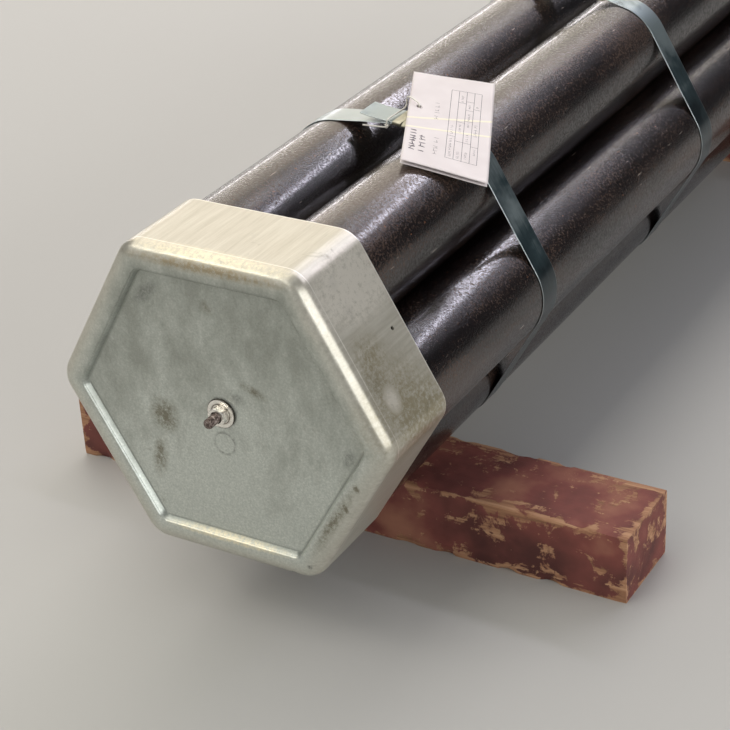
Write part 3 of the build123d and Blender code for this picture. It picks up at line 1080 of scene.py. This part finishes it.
# Finishes
capMarks = {  # by colour: each mark's x, distance behind the rim's crest and height over the axis, its
    # radii along them, in millimetres, its turn about the bundle in degrees, and its strength
    "#676049": (
        ((-66, 6, -19), (20, 30, 24), 10, 1.0),
        ((-76, 6, -66), (11, 30, 30), 12, 0.85),
        ((37, 6, 31), (20, 30, 7), 22, 0.7),
        ((-6, 6, 107), (12, 30, 9), 40, 0.5),
        ((144, 2, -40), (4, 20, 6), -30, 1.0),
        ((132, 2, -65), (3, 20, 7), -30, 1.0),
        ((118, 2, -82), (8, 20, 64), 30, 0.8),
        ((152, 30, 55), (22, 20, 30), 0, 0.45),
    ),
    "#8f8567": (
        # Grime and painted shadow over the middle and lower end of the upper right flat
        ((140, 40, 78), (24, 34, 30), 0, 0.6),
        ((168, 50, 26), (50, 70, 70), 0, 0.8),
        ((178, 90, 6), (34, 60, 34), 0, 0.6),
    ),
    "#efe6c8": (
        # A lighter cream band along the top rim's outer fillet: painted highlight
        ((0, 8, 158), (110, 16, 7), 0, 0.9),
        # A painted highlight on the bottom rim's inner wall
        ((0, 3, -136), (84, 14, 5), 0, 1.4),
    ),
    "#575a55": (
        ((-73, 6, 109), (26, 30, 10), -45, 0.6),
        # A dark patch up and to the right of the washer: painted shadow
        ((18, 6, 20), (12, 30, 8), 40, 0.5),
        ((0, 6, -33), (14, 6, 14), 0, 2.2),
        ((0, 6, -33), (11, 6, 11), 0, -5.6),
        ((134, 6, -15), (9, 30, 13), 20, 0.6),
        ((105, 45, 136), (15, 9, 6), 30, 0.75),
        ((119, 46, 112), (6, 9, 16), 0, 0.6),
        ((68, 4, -155), (6, 20, 3), 0, 1.0),
        ((88, 4, -141), (4, 20, 3), 0, 1.0),
    ),
    "#dfdace": (
        ((162, 40, 36), (15, 13, 17), 0, 1.3),
        # Lightens the upper end of the upper right flat: painted light
        ((112, 70, 128), (30, 90, 50), 0, 1.6),
    ),
    # A brown-grey band on the front of the top rim's crest: painted shade
    "#a08f6c": (((0, 2, 149), (110, 7, 7), 0, 1.0),),
}


def span(fromMin, fromMax, toMin, toMax):
    # Values of a Map Range node
    return {"From Min": fromMin, "From Max": fromMax, "To Min": toMin, "To Max": toMax}


def clouds(scale, detail, roughness=0.5, distortion=0.0):
    # Values of a Noise Texture node
    return {"Scale": scale, "Detail": detail, "Roughness": roughness, "Distortion": distortion}


def fromSides(add, centred):
    # Distance from the bundle's axis, measured square to the hexagon's nearest side
    reach = None
    for turn in (30, 90, 150):
        toSide = (cos(radians(turn)), 0, sin(radians(turn)))
        along = add("VectorMath", {1: toSide}, {0: centred}, operation="DOT_PRODUCT")
        size = add("Math", links={0: along}, operation="ABSOLUTE")
        reach = add("Math", links={0: size, 1: reach}, operation="MAXIMUM") if reach else size
    return reach


def besideLine(add, measure, line, fade):
    # Mask that fades out on both sides of where the measure says line
    off = add("Math", {1: line}, {0: measure}, operation="SUBTRACT")
    aside = add("Math", links={0: off}, operation="ABSOLUTE")
    return add("MapRange", span(*fade), {"Value": aside})


def markCap(add, place, colour):
    # Marks of the cap, broken up by specks 5 mm across
    specks = add("TexNoise", clouds(200, 6, 0.85), {"Vector": place})
    mottle = add("MapRange", span(0.36, 0.62, 0.0, 1.0), {"Value": specks})
    for tint, marks in capMarks.items():
        level = None
        for middle, radii, turn, strength in marks:
            spot = add("Mapping", links={"Vector": place}, vector_type="TEXTURE")
            spot.inputs["Location"].default_value = behindRim(*middle)
            spot.inputs["Rotation"].default_value = (0, radians(turn), 0)
            spot.inputs["Scale"].default_value = [radius * millimetre for radius in radii]
            fade = add("TexGradient", links={"Vector": spot}, gradient_type="SPHERICAL")
            sources = {0: fade.outputs["Fac"]}
            if level:
                sources[2] = level
            level = add("Math", {1: strength, 2: 0}, sources, operation="MULTIPLY_ADD")
        ragged = add("Math", links={0: mottle, 1: level}, operation="MULTIPLY")
        seen = add("ValToRGB", links={"Fac": ragged}, stops=[(0.02, 0.0), (0.5, 0.8)])
        colour = add("Mix", {over: tint}, {0: seen, under: colour}, data_type="RGBA")
    return colour


def pressedSheetSteel():
    # Cold-rolled sheet, pressed and handled: dull satin metal, cream where the press rubbed it, greener
    # under the film of oil on its panel, with smudges, brown stains, worn patches, and painted shade and
    # highlights
    material, add, shader = newMaterial("coldRolledSheetSteel", Metallic=0.55)
    place = add("TexCoord").outputs["Object"]
    # Film of oil on the panel
    centred = add("VectorMath", {1: (0, 0, axisHeight)}, {0: place}, operation="SUBTRACT")
    reach = fromSides(add, centred)
    border = capApothem - capSettings["rimWidth"] * millimetre
    film = add("MapRange", span(border + 0.002, capApothem - 0.001, 1.0, 0.1), {"Value": reach})
    # Drawing lines 4 mm apart and 70 mm long down the skirt
    drawn = add("Mapping", {"Scale": (260, 14, 260)}, {"Vector": place})
    lines = add("TexNoise", clouds(1, 4, 0.65), {"Vector": drawn})
    creamTones = [(0.3, "#b2ad9e"), (0.5, "#bfbaac"), (0.7, "#cbc7ba")]
    cream = add("ValToRGB", links={"Fac": lines}, stops=creamTones)
    # Grain of the sheet, drawn at 2 mm so that it shows; the real one is finer
    grain = add("TexNoise", clouds(500, 3, 0.7), {"Vector": place})
    greenTones = [(0.3, "#b0b7b0"), (0.55, "#c5cac3"), (0.75, "#d9dcd5")]
    green = add("ValToRGB", links={"Fac": grain}, stops=greenTones)
    shadedTone = add("Mix", links={0: film, under: cream, over: green}, data_type="RGBA")
    # Dirt and painted shade along the foot of the rim's wall, 3.6 mm wide with its soft edges
    footAt = border - capSettings["rimSlope"][1] * millimetre
    footDirtAndShade = besideLine(add, reach, footAt, (0.0004, 0.0018, 0.4, 0.0))
    shadedTone = add("Mix", {over: "#5a5f59"}, {0: footDirtAndShade, under: shadedTone}, data_type="RGBA")
    # Painted highlights: a bright line 1 mm wide on the cut edge, and one 1.2 mm wide on the press's line
    # round the skirt
    parts = add("SeparateXYZ", links={"Vector": centred})
    length = add("Math", links={0: parts.outputs["Y"]}, operation="ABSOLUTE")
    openEdge = rimCrest - capSettings["depth"] * millimetre
    cut = add("MapRange", span(openEdge + 0.0006, openEdge + 0.0013, 0.9, 0.0), {"Value": length})
    lineAt = rimCrest - capSettings["creaseAt"] * millimetre
    line = besideLine(add, length, lineAt, (0.0003, 0.0009, 0.6, 0.0))
    paintedHighlights = add("Math", links={0: cut, 1: line}, operation="MAXIMUM")
    shadedTone = add("Mix", {over: "#f6f3ea"}, {0: paintedHighlights, under: shadedTone}, data_type="RGBA")
    # Smudges 45 mm wide and 85 mm long, wiped downwards, with painted shade that darkens the sheet towards
    # the top
    wiped = add("Mapping", {"Rotation": (0, radians(18), 0), "Scale": (22, 14, 12)}, {"Vector": place})
    handled = add("TexNoise", clouds(1, 8, 0.74, 0.25), {"Vector": wiped})
    smudgesAndTopShade = add("Math", {1: 1.6}, {0: parts.outputs["Z"], 2: handled}, operation="MULTIPLY_ADD")
    dulled = add("Math", {1: 0.55}, {0: film, 2: smudgesAndTopShade}, operation="MULTIPLY_ADD")
    smudgeAndTopShade = add("MapRange", span(0.92, 1.24, 0.0, 0.7), {"Value": dulled})
    colour = add("Mix", {over: "#85887f"}, {0: smudgeAndTopShade, under: shadedTone}, data_type="RGBA")
    colour = markCap(add, place, colour)
    # Brown stains 38 mm across
    drips = add("TexNoise", clouds(26, 6, 0.72, 0.9), {"Vector": place})
    stain = add("ValToRGB", links={"Fac": drips}, stops=[(0.64, 0.0), (0.8, 0.7)])
    dirty = add("Mix", {over: "#6a6655"}, {0: stain, under: colour}, data_type="RGBA")
    sheen = add("Math", {1: 0.14, 2: 0.22}, {0: handled}, operation="MULTIPLY_ADD")
    gloss = add("Math", {1: 0.1}, {0: lines, 2: sheen}, operation="MULTIPLY_ADD")
    relief = add("Bump", {"Strength": 0.25, "Distance": 0.0001}, {"Height": grain})
    plug(shader, {"Base Color": dirty, "Roughness": gloss, "Normal": relief})
    return material


def oiledMillScale():
    # Hot-rolled pipe under oil: brown scale, pebbled by the rolls, with a thin gloss in streaks
    material, add, shader = newMaterial(
        "oiledMillScale", Metallic=0.1, Specular_IOR_Level=0.36, Coat_Roughness=0.12
    )
    place = add("TexCoord").outputs["Object"]
    # Clouds of scale 70 mm across and 450 mm along the pipe
    rolled = add("Mapping", {"Scale": (14, 2.2, 14)}, {"Vector": place})
    cloud = add("TexNoise", clouds(1, 4, 0.6, 0.4), {"Vector": rolled})
    # Pebbles 2.5 mm across, drawn a little coarser than the roll's own so that they show
    pebbles = add("TexNoise", clouds(400, 3, 0.62), {"Vector": place})
    # The colour follows the pebbles, darker in their pits and lighter on their tops: painted shade and
    # glints
    tone = add("Math", {1: 0.75}, {0: pebbles, 2: cloud}, operation="MULTIPLY_ADD")
    scaleTones = [(0.66, "#060404"), (0.86, "#150e0e"), (1.0, "#43362f")]
    scale = add("ValToRGB", links={"Fac": tone}, stops=scaleTones)
    # Specks of rust, the larger of them 7 mm across
    specks = add("TexNoise", clouds(150, 3, 0.7), {"Vector": place})
    rust = add("ValToRGB", links={"Fac": specks}, stops=[(0.68, 0.0), (0.76, 1.0)])
    rusted = add("Mix", {over: "#7a5138"}, {0: rust, under: scale}, data_type="RGBA")
    # Drag marks 2.4 mm wide and 38 mm long
    dragged = add("Mapping", {"Rotation": (0, 0, radians(8)), "Scale": (420, 26, 420)}, {"Vector": place})
    streaks = add("TexNoise", clouds(1, 2), {"Vector": dragged})
    scratch = add("ValToRGB", links={"Fac": streaks}, stops=[(0.74, 0.0), (0.79, 1.0)])
    scratched = add("Mix", {over: "#a89c92"}, {0: scratch, under: rusted}, data_type="RGBA")
    gloss = add("Math", {1: 0.16, 2: 0.16}, {0: cloud}, operation="MULTIPLY_ADD")
    # Oil lies in the pits
    oil = add("MapRange", span(0.38, 0.62, 0.75, 0.05), {"Value": pebbles})
    relief = add("Bump", {"Strength": 1.0, "Distance": 0.00045}, {"Height": pebbles})
    plug(shader, {"Base Color": scratched, "Roughness": gloss, "Coat Weight": oil, "Normal": relief})
    return material


def bluedStrapping():
    # Hardened strapping, blued and waxed: dark teal, brushed along its run, with painted shade lower down
    # and edges bright from wear and a painted highlight
    material, add, shader = newMaterial(
        "bluedSteelStrapping", Metallic=0.8, Coat_Weight=0.4, Coat_Roughness=0.15
    )
    band = add("UVMap", uv_map="band")
    # Rolling lines 0.7 mm apart and 60 mm long
    rolled = add("Mapping", {"Scale": (1.4, 0.016, 1)}, {"Vector": band})
    lines = add("TexNoise", clouds(1, 3, 0.6), {"Vector": rolled})
    place = add("TexCoord").outputs["Object"]
    # Cloudy bluing, 42 mm, and darker lower down, below the top pipes: painted shade
    cloud = add("TexNoise", clouds(24, 3, 0.6), {"Vector": place})
    tone = add("Math", {1: 0.35}, {0: lines, 2: cloud}, operation="MULTIPLY_ADD")
    height = add("SeparateXYZ", links={"Vector": place}).outputs["Z"]
    lowShade = span(axisHeight + 0.02, axisHeight + 0.13, -0.3, 0.3)
    shadedTone = add("MapRange", lowShade, {"Value": height})
    level = add("Math", links={0: tone, 1: shadedTone}, operation="ADD")
    tealTones = [(0.4, "#1a2a2f"), (0.68, "#3f5257"), (0.95, "#8f9c9e")]
    colour = add("ValToRGB", links={"Fac": level}, stops=tealTones)
    # Edges 0.7 mm wide, lighter from wear and a painted highlight
    across = add("SeparateXYZ", links={"Vector": band}).outputs["X"]
    side = add("Math", links={0: across}, operation="ABSOLUTE")
    edge = strap["width"] / 2
    worn = add("MapRange", span(edge - 0.7, edge - 0.2, 0.0, 0.9), {"Value": side})
    finish = add("Mix", {over: "#b3bcbe"}, {0: worn, under: colour}, data_type="RGBA")
    gloss = add("Math", {1: 0.25, 2: 0.2}, {0: cloud}, operation="MULTIPLY_ADD")
    plug(shader, {"Base Color": finish, "Roughness": gloss})
    return material


def zincCoated():
    # Zinc-coated clip steel: pale and slightly creamy, its gloss broken by spangles 2.4 mm across
    material, add, shader = newMaterial("zincCoatedSteel", Metallic=0.9)
    place = add("TexCoord").outputs["Object"]
    spangle = add("TexVoronoi", {"Scale": 420}, {"Vector": place})
    # Clouds of tarnish, 11 mm
    cloud = add("TexNoise", clouds(90, 4), {"Vector": place})
    colour = add("ValToRGB", links={"Fac": cloud}, stops=[(0.3, "#9d9a86"), (0.7, "#c9c6b2")])
    gloss = add("Math", {1: 0.3, 2: 0.3}, {0: spangle}, operation="MULTIPLY_ADD")
    plug(shader, {"Base Color": colour, "Roughness": gloss})
    return material


def platedSteel():
    # Bright zinc plating: clean and nearly white, darker in its corners and round its edge with painted
    # shade and brown grime
    material, add, shader = newMaterial("brightZincPlating", Metallic=0.9)
    place = add("TexCoord").outputs["Object"]
    # Distance from the rod's axis in shares of the washer's radius, its edge ragged every 4.5 mm
    marks = add("TexNoise", clouds(220, 3, distortion=0.5), {"Vector": place})
    across = add("VectorMath", {1: (1, 0, 1)}, {0: place}, operation="MULTIPLY")
    off = add("VectorMath", {1: (0, 0, axisHeight)}, {0: across}, operation="DISTANCE")
    share = 2 / (fastenerSettings["washer"] * millimetre)
    ragged = add("Math", {1: 0.06, 2: -0.03}, {0: marks}, operation="MULTIPLY_ADD")
    reach = add("Math", {1: share}, {0: off, 2: ragged}, operation="MULTIPLY_ADD")
    # Painted shade and brown grime in the bore and round the nut's foot, then on the washer's edge
    footDirtAndShade = [(0.36, "#4e433b"), (0.4, "#f4f1ea"), (0.61, "#f4f1ea"), (0.67, "#5f5348")]
    rim = [(0.72, "#ddd9d1"), (0.8, "#f4f1ea"), (0.93, "#f4f1ea"), (0.98, "#4f4b45")]
    colour = add("ValToRGB", links={"Fac": reach}, stops=footDirtAndShade + rim)
    gloss = add("Math", {1: 0.08, 2: 0.24}, {0: marks}, operation="MULTIPLY_ADD")
    plug(shader, {"Base Color": colour, "Roughness": gloss})
    return material


def brownedRod():
    # Plain steel rod gone brown: patches of rust 3.3 mm across, worn brighter between them
    material, add, shader = newMaterial("brownedThreadedRod", Metallic=0.55)
    place = add("TexCoord").outputs["Object"]
    film = add("TexNoise", clouds(300, 4, 0.7), {"Vector": place})
    rustTones = [(0.32, "#241b18"), (0.5, "#6a5c56"), (0.66, "#c0b5ae")]
    colour = add("ValToRGB", links={"Fac": film}, stops=rustTones)
    gloss = add("Math", {1: 0.3, 2: 0.3}, {0: film}, operation="MULTIPLY_ADD")
    plug(shader, {"Base Color": colour, "Roughness": gloss})
    return material


def tagCard():
    # Coated card: matt white with a pink cast, two soft creases across it, paler along them with painted
    # glare
    material, add, shader = newMaterial("coatedCard", Roughness=0.42)
    card = add("UVMap", uv_map="card")
    flat = add("SeparateXYZ", links={"Vector": card})
    # Fibres drawn at 1.1 mm so that they show, and clouds of 33 mm
    paper = add("TexNoise", clouds(0.9, 4), {"Vector": card})
    cloud = add("TexNoise", clouds(0.03, 2), {"Vector": card})
    colour = add("ValToRGB", links={"Fac": cloud}, stops=[(0.3, "#d5cdcd"), (0.7, "#dfd8d8")])
    creasesAndGlare = []
    for slope, start in ((0.28, 5.9), (0.163, -16.4)):  # each crease as v = start + slope * u
        line = add("Math", {1: slope, 2: start}, {0: flat.outputs["X"]}, operation="MULTIPLY_ADD")
        wobble = add("Math", {1: 2.4}, {0: cloud, 2: line}, operation="MULTIPLY_ADD")
        off = add("Math", links={0: flat.outputs["Y"], 1: wobble}, operation="SUBTRACT")
        aside = add("Math", links={0: off}, operation="ABSOLUTE")
        creaseAndGlare = add("MapRange", span(0.3, 2.2, 1.0, 0.0), {"Value": aside})
        # Paler along each crease: painted glare
        colour = add("Mix", {over: "#efe9d2"}, {0: creaseAndGlare, under: colour}, data_type="RGBA")
        creasesAndGlare.append(creaseAndGlare)
    folds = add("Math", links=dict(enumerate(creasesAndGlare)), operation="ADD")
    grainy = add("Math", {1: 0.12}, {0: paper, 2: folds}, operation="MULTIPLY_ADD")
    relief = add("Bump", {"Strength": 0.5, "Distance": 0.0003}, {"Height": grainy})
    plug(shader, {"Base Color": colour, "Normal": relief})
    return material


def printedInk():
    # Toner: thin grey-violet, broken up at 1.1 mm, which is coarser than the real one so that it shows
    material, add, shader = newMaterial("tonerPrint", Roughness=0.5)
    place = add("TexCoord").outputs["Object"]
    wear = add("TexNoise", clouds(900, 2), {"Vector": place})
    colour = add("ValToRGB", links={"Fac": wear}, stops=[(0.35, "#2c2330"), (0.7, "#6d6470")])
    plug(shader, {"Base Color": colour})
    return material


def twistedCotton():
    # Twisted cotton string: soft off-white, its fibres 0.4 mm across
    material, add, shader = newMaterial("twistedCottonString", Roughness=0.85, Sheen_Weight=0.3)
    place = add("TexCoord").outputs["Object"]
    fibre = add("TexNoise", clouds(2600, 3), {"Vector": place})
    colour = add("ValToRGB", links={"Fac": fibre}, stops=[(0.3, "#ece8dc"), (0.7, "#faf8f2")])
    relief = add("Bump", {"Strength": 0.4, "Distance": 0.0001}, {"Height": fibre})
    plug(shader, {"Base Color": colour, "Normal": relief})
    return material


def paintedTimber():
    # Rough-sawn softwood under one worn coat of red paint: bare yellow-brown wood on edges and chips
    material, add, shader = newMaterial("wornRedPaintedPine", Roughness=0.7)
    place = add("TexCoord").outputs["Object"]
    # Grain 6 mm wide and 140 mm long
    sawn = add("Mapping", {"Scale": (7, 160, 160)}, {"Vector": place})
    grain = add("TexNoise", clouds(1, 5, 0.65, 0.6), {"Vector": sawn})
    woodTones = [(0.3, "#6f4a33"), (0.5, "#a97b5c"), (0.7, "#c9a07c")]
    bare = add("ValToRGB", links={"Fac": grain}, stops=woodTones)
    # The coat fades in clouds of 77 mm
    cloud = add("TexNoise", clouds(13, 4), {"Vector": place})
    paintTones = [(0.32, "#512a26"), (0.52, "#80463e"), (0.7, "#a5705a")]
    coat = add("ValToRGB", links={"Fac": cloud}, stops=paintTones)
    # Chips 29 mm across, more of them on sharp edges and along the grain
    flake = add("TexNoise", clouds(34, 6, 0.72, 0.5), {"Vector": place})
    sharp = add("NewGeometry").outputs["Pointiness"]
    worn = add("MapRange", span(0.5, 0.58, 0.0, 0.22), {"Value": sharp})
    level = add("Math", links={0: flake, 1: worn}, operation="ADD")
    along = add("Math", {1: 0.22}, {0: grain, 2: level}, operation="MULTIPLY_ADD")
    chipped = add("ValToRGB", links={"Fac": along}, stops=[(0.66, 0.0), (0.71, 1.0)])
    colour = add("Mix", links={0: chipped, under: coat, over: bare}, data_type="RGBA")
    height = add("Math", {1: -0.6}, {0: chipped, 2: grain}, operation="MULTIPLY_ADD")
    relief = add("Bump", {"Strength": 0.7, "Distance": 0.0008}, {"Height": height})
    plug(shader, {"Base Color": colour, "Normal": relief})
    return material


finishes = [
    (pressedSheetSteel(), caps),
    (oiledMillScale(), pipes),
    (bluedStrapping(), straps),
    (zincCoated(), seals),
    (platedSteel(), fasteners),
    (brownedRod(), [rod]),
    (tagCard(), [paperTag]),
    (printedInk(), [tagInk]),
    (twistedCotton(), [tagString, stringKnot]),
    (paintedTimber(), bearers),
]
for material, pieces in finishes:
    for piece in pieces:
        dress(piece, material)
print("finishes on")


# Floor and lights
stageSettings = {
    "floor": "#b9b9b6",
    "reach": 12,  # metres of floor each way
    "world": ("#dfe5ec", 0.08),
    "lights": {  # colour, watts, width and height in metres, place, what it points at
        "farWall": ("#fff3e2", 629, (13.7, 9.2), (-6.4, 11.5, 4.7), (0, -0.4, 0.3)),
        "farStrip": ("#f8f5ff", 26, (5.0, 0.22), (-4.0, 4.4, 0.75), (0, -0.4, 0.3)),
        "strip": ("#efebfa", 74, (4.5, 0.2), (0.9, 3.7, 3.6), (0, -0.4, 0.3)),
        "ceiling": ("#fffaf2", 196, (5.0, 7.2), (-2.1, 0.3, 4.2), (-2.1, 0.3, 0)),
        "frontWall": ("#fffaf4", 303, (16.6, 8.3), (-4.7, -12.0, 4.8), (0, -0.8, 0.3)),
        "sideWindow": ("#ffffff", 677, (12.6, 5.1), (10.1, -2.3, 3.5), (0, -0.7, 0.3)),
        "frontStrip": ("#fffaf0", 42, (5.0, 0.25), (-1.5, -3.2, 3.6), (0, -0.76, 0.2)),
        "sideStrip": ("#ffffff", 8, (0.35, 1.6), (3.0, -3.0, 1.4), (0, -0.7, 0.3)),
    },
}


def setStage(settings):
    corners = ((-1, -1), (1, -1), (1, 1), (-1, 1))
    points = [Vector((x, y, 0)) * settings["reach"] for x, y in corners]
    floor = addMesh("floor", points, [(0, 1, 2, 3)], body=None)
    dress(floor, newMaterial("paleFloor", Roughness=0.6, Base_Color=linear(settings["floor"]))[0])
    world = bpy.data.worlds.new("studio")
    world.use_nodes = True
    colour, strength = settings["world"]
    background = world.node_tree.nodes["Background"]
    background.inputs["Color"].default_value = linear(colour)
    background.inputs["Strength"].default_value = strength
    bpy.context.scene.world = world
    bpy.context.scene.view_settings.view_transform = "Standard"
    for name, (tint, power, spread, place, target) in settings["lights"].items():
        data = bpy.data.lights.new(name, "AREA")
        data.shape = "RECTANGLE"
        data.color = linear(tint)[:3]
        data.size, data.size_y = spread
        data.energy = power
        lamp = bpy.data.objects.new(name, data)
        lamp.location = place
        lamp.visible_camera = False
        lamp.rotation_euler = (Vector(target) - Vector(place)).to_track_quat("-Z", "Y").to_euler()
        bpy.context.scene.collection.objects.link(lamp)


setStage(stageSettings)
print("stage lit")
